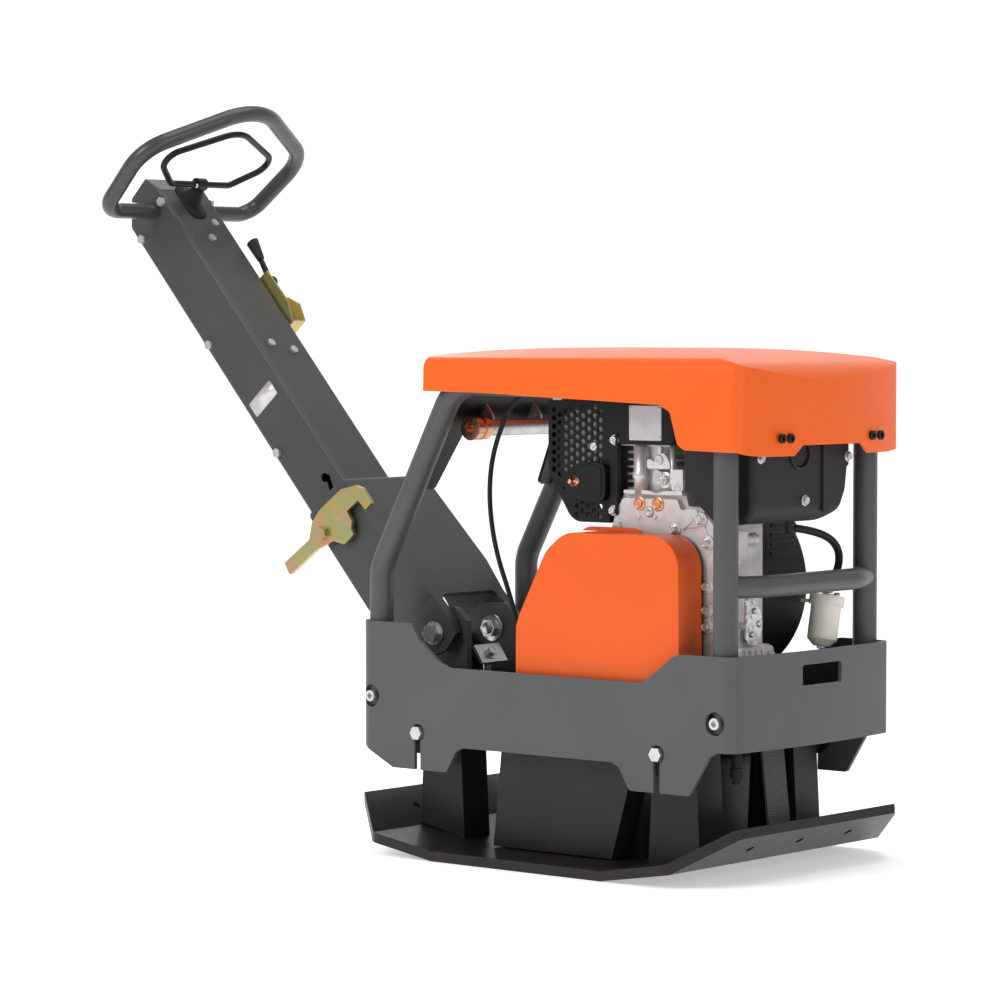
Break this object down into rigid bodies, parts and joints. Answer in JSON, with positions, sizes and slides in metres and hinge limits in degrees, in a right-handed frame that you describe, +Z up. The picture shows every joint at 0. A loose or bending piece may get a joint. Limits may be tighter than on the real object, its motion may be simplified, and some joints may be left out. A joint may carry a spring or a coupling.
{
  "type": "plate compactor",
  "caption": "Reversible vibratory plate compactor: diesel engine under an orange hood in a tube cage, belt-driven exciter on a steel base plate, and a tilting handle.",
  "frame": {"origin": "middle of the base plate's flat underside, on the ground", "axes": "+X forward along the direction of travel, +Y to the machine's left, +Z up"},
  "size_m": [1.3016, 0.5, 1.0875],
  "materials": {
    "dark_grey_paint": "satin dark grey powder coat",
    "black_paint": "satin black paint",
    "orange_plastic": "orange moulded hood, satin",
    "orange_paint": "orange gloss paint on sheet steel",
    "cast_aluminium": "as-cast aluminium",
    "zinc": "bright zinc plating",
    "yellow_zinc": "yellow passivated zinc plating",
    "brass": "plain turned brass",
    "black_plastic": "moulded black plastic",
    "white_plastic": "milky translucent plastic",
    "black_rubber": "matt black rubber",
    "webbing": "woven polyester webbing",
    "cast_iron": "dark painted casting",
    "bare_steel": "machined steel"
  },
  "bodies": {
    "machine": {"base_plate": "cast_iron", "belt_guard": "orange_paint", "blower_housing": "black_plastic", "cable_anchors": "zinc", "cage_tube_left": "dark_grey_paint", "cage_tube_right": "dark_grey_paint", "clevis_ears": "dark_grey_paint", "control_cable": "black_rubber", "crankcase": "cast_aluminium", "crankcase_cover": "cast_aluminium", "cross_pipe": "zinc", "cylinder": "cast_aluminium", "cylinder_head": "cast_aluminium", "drain_tube": "black_rubber", "engine_bolts": "zinc", "engine_cowling": "black_paint", "engine_deck": "black_paint", "exciter_bearings": "bare_steel", "exciter_covers": "cast_iron", "exciter_housing": "cast_iron", "front_crossbar": "dark_grey_paint", "fuel_filter": "white_plastic", "fuel_hose": "black_rubber", "fuel_tank": "black_plastic", "guard_backplate": "black_paint", "handle_stop": "zinc", "hood": "orange_plastic", "hood_bolts": "black_paint", "injection_pump": "cast_aluminium", "lower_belt_cover": "black_paint", "mount_bolts": "zinc", "mount_towers": "cast_iron", "muffler": "bare_steel", "muffler_guard": "black_paint", "pipe_fitting": "brass", "pivot_bolts": "zinc", "rear_cross_plate": "black_paint", "recoil_cover": "black_plastic", "rubber_mounts": "black_rubber", "side_skirt": "dark_grey_paint", "skirt_screws": "zinc", "v_belt": "black_rubber", "webbing_strap": "webbing"},
    "handle": {"handle_yoke": "dark_grey_paint", "handle_pole": "dark_grey_paint", "handle_loop": "dark_grey_paint", "handle_bolts": "zinc", "throttle_bracket": "yellow_zinc"},
    "control_bail": {"control_bail": "black_paint"},
    "throttle_lever": {"throttle_lever": "black_plastic"},
    "lock_lever": {"lock_lever": "yellow_zinc"},
    "crankshaft": {"crankshaft": "bare_steel", "flywheel": "cast_aluminium", "clutch_pulley": "bare_steel"},
    "exciter_front": {"exciter_shaft_front": "bare_steel", "exciter_gear_front": "bare_steel", "exciter_pulley": "bare_steel"},
    "exciter_rear": {"exciter_shaft_rear": "bare_steel", "exciter_gear_rear": "bare_steel"}
  },
  "joints": [
    {"name": "handle_tilt", "type": "hinge", "parent": "machine", "child": "handle", "pos_m": [-0.291, 0, 0.303], "axis": [0, 1, 0], "range_deg": [0, 41]},
    {"name": "control_bail_tilt", "type": "hinge", "parent": "handle", "child": "control_bail", "pos_m": [-0.87455, 0, 0.93769], "axis": [0, 1, 0], "range_deg": [-15, 15]},
    {"name": "throttle_swing", "type": "hinge", "parent": "handle", "child": "throttle_lever", "pos_m": [-0.75181, 0.066, 0.81661], "axis": [0, 1, 0], "range_deg": [-12, 48]},
    {"name": "lock_swing", "type": "hinge", "parent": "handle", "child": "lock_lever", "pos_m": [-0.48841, -0.098, 0.44224], "axis": [0, 1, 0], "range_deg": [-40, 5]},
    {"name": "exciter_spin", "type": "hinge", "parent": "machine", "child": "exciter_front", "pos_m": [0.048, 0, 0.082], "axis": [0, 1, 0], "continuous": true},
    {"name": "exciter_counter_spin", "type": "hinge", "parent": "machine", "child": "exciter_rear", "pos_m": [-0.048, 0, 0.082], "axis": [0, 1, 0], "continuous": true},
    {"name": "crank_spin", "type": "hinge", "parent": "machine", "child": "crankshaft", "pos_m": [0.1, 0, 0.388], "axis": [0, 1, 0], "continuous": true}
  ],
  "couplings": [
    {"joint": "exciter_counter_spin", "follows": "exciter_spin", "ratio": -1},
    {"joint": "crank_spin", "follows": "exciter_spin", "ratio": 1.1111}
  ]
}
